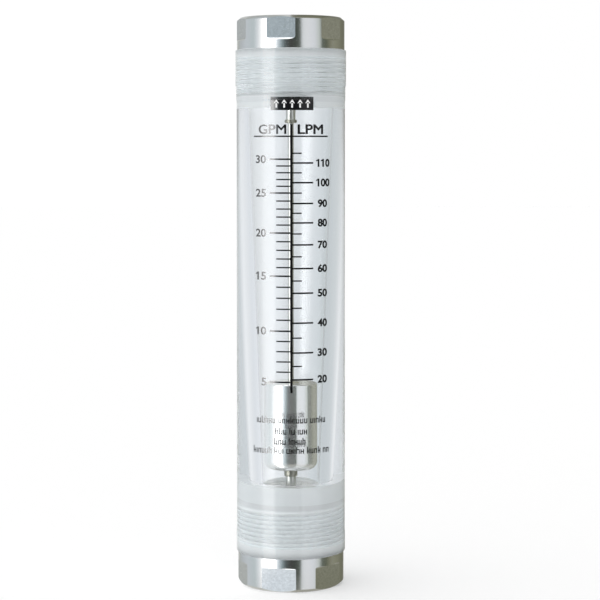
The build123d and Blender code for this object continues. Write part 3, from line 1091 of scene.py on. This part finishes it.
def mirrored_share(nodes, links, light):
    """1 for a mirrored ray that crossed none of the tube's surfaces or at least four of them, or
    else 0: a ray that crossed one to three was mirrored inside the tube's wall."""
    crossings = maths(nodes, links, "SUBTRACT", light.outputs["Transmission Depth"], 2.0)
    apart = maths(nodes, links, "ABSOLUTE", crossings)
    not_inside = maths(nodes, links, "GREATER_THAN", apart, 1.5)
    glossy = maths(nodes, links, "GREATER_THAN", light.outputs["Glossy Depth"], 0.5)
    return maths(nodes, links, "MULTIPLY", glossy, not_inside)


def over_floor(nodes, links, slope, view):
    """A view with a share of the floor from steeply below."""
    below = nodes.new("ShaderNodeMapRange")
    below.inputs["From Min"].default_value = FLOOR_SLOPES[0]
    below.inputs["From Max"].default_value = FLOOR_SLOPES[1]
    below.inputs["To Max"].default_value = FLOOR_SHARE
    links.new(slope, below.inputs["Value"])
    ground = nodes.new("ShaderNodeBackground")
    ground.inputs["Color"].default_value = FLOOR_VIEW + (1.0,)
    return mixed(nodes, links, below.outputs["Result"], view, ground.outputs["Background"])


def make_world():
    """White for the eye and for diffuse light. Metal mirrors its own view and the tube another."""
    world = bpy.data.worlds.new("studio")
    bpy.context.scene.world = world
    world.use_nodes = True
    nodes, links = world.node_tree.nodes, world.node_tree.links
    nodes.clear()
    out = nodes.new("ShaderNodeOutputWorld")
    place = nodes.new("ShaderNodeTexCoord")
    split = nodes.new("ShaderNodeSeparateXYZ")
    links.new(place.outputs["Generated"], split.inputs["Vector"])
    back = maths(nodes, links, "MULTIPLY", split.outputs["Y"], -1.0)
    angle = maths(nodes, links, "ARCTAN2", split.outputs["X"], back)
    turn = maths(nodes, links, "MULTIPLY_ADD", angle, 0.5 / math.pi, 0.5)
    light = nodes.new("ShaderNodeLightPath")
    lean = maths(nodes, links, "MULTIPLY_ADD", split.outputs["X"], -LIGHT_LEAN, 1.0)
    strength = maths(nodes, links, "MAXIMUM", lean, light.outputs["Is Camera Ray"])
    white = nodes.new("ShaderNodeBackground")
    white.inputs["Color"].default_value = (1, 1, 1, 1)
    links.new(strength, white.inputs["Strength"])
    clear = view_ramp(nodes, links, turn, CLEAR_VIEW)
    metal = view_ramp(nodes, links, turn, METAL_VIEW)
    metal = over_floor(nodes, links, split.outputs["Z"], metal)
    view = mixed(nodes, links, mirrored_share(nodes, links, light), clear, metal)
    bent = bent_share(nodes, links, light)
    links.new(mixed(nodes, links, bent, white.outputs["Background"], view), out.inputs["Surface"])
    world.cycles.sampling_method = "NONE"


def make_floor():
    """Plain white floor. What mirrors or clear walls show is the studio behind it."""
    size = 6.0
    mesh = bpy.data.meshes.new("floor")
    corners = [(-size, -size, 0), (size, -size, 0), (size, size, 0), (-size, size, 0)]
    mesh.from_pydata(corners, [], [(0, 1, 2, 3)])
    floor = bpy.data.objects.new("floor", mesh)
    bpy.context.scene.collection.objects.link(floor)
    material, nodes, links, shader = new_material("floor_white")
    shader.inputs["Base Color"].default_value = (1, 1, 1, 1)
    shader.inputs["Roughness"].default_value = 1.0
    shader.inputs["Specular IOR Level"].default_value = 0.0
    bent = bent_share(nodes, links, nodes.new("ShaderNodeLightPath"))
    clear = nodes.new("ShaderNodeBsdfTransparent")
    links.new(mixed(nodes, links, bent, shader.outputs["BSDF"], clear.outputs["BSDF"]),
              nodes["Material Output"].inputs["Surface"])
    mesh.materials.append(material)


def make_camera():
    data = bpy.data.cameras.new("camera")
    data.lens = CAMERA_LENS
    data.sensor_width = CAMERA_SENSOR
    camera = bpy.data.objects.new("camera", data)
    camera.location = (CAMERA_SIDE, -CAMERA_DISTANCE, CAMERA_HEIGHT)
    camera.rotation_euler = (math.pi / 2 - CAMERA_PITCH, 0, 0)
    bpy.context.scene.collection.objects.link(camera)
    bpy.context.scene.camera = camera


scene = bpy.context.scene
scene.view_settings.view_transform = "Standard"
scene.cycles.max_bounces = 32
scene.cycles.glossy_bounces = 16
scene.cycles.transmission_bounces = 24
scene.cycles.diffuse_bounces = 16
scene.cycles.blur_glossy = 0.0
make_camera()
make_world()
make_floor()

turned_steel = steel_material("turned_steel", (0.74, 0.75, 0.75), 0.10, 0.16, TURNED_LINES, 0.35)
milled_steel = steel_material("milled_steel", (0.75, 0.76, 0.77), 0.11, 0.16, MILLED_LINES, 0.045,
                              tint=0.15, detail=5.0)
satin_steel = steel_material("satin_steel", (0.93, 0.94, 0.94), 0.35, 0.5, TURNED_LINES, 0.3,
                             bare=0.05)
float_steel = steel_material("float_steel_look", (0.93, 0.93, 0.92), 0.07, 0.11, TURNED_LINES,
                             0.2, bare=0.88)
rod_steel = steel_material("rod_steel", (0.68, 0.68, 0.65), 0.28, 0.36, DRAWN_LINES, 0.2)
# Stop collars: a darker, olive copy of the rod's steel, which is painted shade for steel that sits
# in the float's shade.
shaded_stop_steel = steel_material("shaded_stop_steel", (0.40, 0.39, 0.33), 0.3, 0.4, TURNED_LINES, 0.2)
inner_steel = steel_material("inner_steel", (0.92, 0.93, 0.93), 0.35, 0.5, MILLED_LINES, 0.3,
                             bare=0.15)
ring_steel = steel_material("ring_steel", (0.90, 0.90, 0.89), 0.35, 0.5, MILLED_LINES, 0.2,
                            bare=0.15)
rubber = plain_material("seal_rubber_look", (0.36, 0.36, 0.38), 0.55, 1500.0)
polymer = plain_material("bush_polymer_look", (0.30, 0.28, 0.20), 0.45, 1200.0)
white_ink = ink_material("white_ink", (0.80, 0.80, 0.80), 0.4, 1.5, 0.3)
# The glossy copy is lighter and more reflective than the satin ink: painted highlight on the side
# the left light falls on.
ink_looks = {
    "satin": ink_material("black_ink", (0.005, 0.005, 0.006), 0.1, 1.5, 0.3),
    "glossy": ink_material("lit_side_black_ink", (0.010, 0.010, 0.011), 0.07, 1.8, 0.8),
}
fitting_looks = {"turned": turned_steel, "milled": milled_steel, "satin": satin_steel}
tube_looks = {
    "clear": acrylic_material("clear_acrylic_look", 0.02, 0.08),
    "mouth": film_material("mouth_look", (0.93, 0.955, 0.967), (0.95, 0.973, 0.982)),
    "nose_wall": film_material("nose_wall_look", (0.765, 0.795, 0.808), (0.79, 0.82, 0.833)),
    "lower_thread": film_material("lower_thread_look", (0.835, 0.862, 0.872), (0.865, 0.89, 0.90)),
    "upper_thread": film_material("upper_thread_look", (0.86, 0.888, 0.898), (0.89, 0.915, 0.925)),
    "lower_seal": film_material("lower_seal_look", (0.69, 0.71, 0.725), (0.76, 0.78, 0.79), 0.05),
    "upper_seal": film_material("upper_seal_look", (0.86, 0.885, 0.90), (0.89, 0.915, 0.93)),
    "step": film_material("tube_step_look", (0.80, 0.83, 0.845), (0.85, 0.88, 0.895), 0.6),
}
# Last number: painted shading of the thread's relief, with the film darker towards the crests
# below and lighter above.
show_crests(tube_looks["lower_thread"], 0.0, 0.1, -0.045)
show_crests(tube_looks["upper_thread"], 0.25, 0.8, 0.08)

paint_tube(make_tube(), tube_looks)
for node, face, way, collar, thread, nose, flats in (
    ("lower_fitting", 0.0, 1, TUBE_LOW, LOWER_THREAD, LOWER_NOSE, LOWER_FLATS),
    ("upper_fitting", METER_HIGH, -1, METER_HIGH - TUBE_HIGH, UPPER_THREAD, UPPER_NOSE,
     UPPER_FLATS),
):
    fitting = make_fitting(node, face, way, collar, thread, nose, flats)
    paint_fitting(fitting, face, way, collar, thread, fitting_looks)

paint(make_float(), float_steel)
paint(make_bush("float_lower_bush", "lower_bush", 1, FLOAT_LOW), polymer)
paint(make_bush("float_upper_bush", "upper_bush", -1, FLOAT_HIGH - FLANGE_THICKNESS), polymer)
paint(make_rod(), rod_steel)
ring_looks = {"sleeve": rod_steel, "washer": inner_steel, "stop": shaded_stop_steel}
for end in ("lower", "upper"):
    for node, name, clearance, slot, edge in ROD_RINGS:
        paint(make_rod_ring(end, node, name, clearance, edge), ring_looks[name])
    paint(make_seal(end), rubber)
    for node, look in (("rod_support", inner_steel), ("retaining_ring", ring_steel),
                       ("rod_nut", inner_steel)):
        paint(frame["nodes"][f"{end}_{node}"], look)

for piece in [make_ticks(), make_note_rows()] + make_numbers():
    paint_ink(piece, ink_looks)
bar, arrows = make_bar()
paint_ink(bar, ink_looks)
paint(arrows, white_ink)
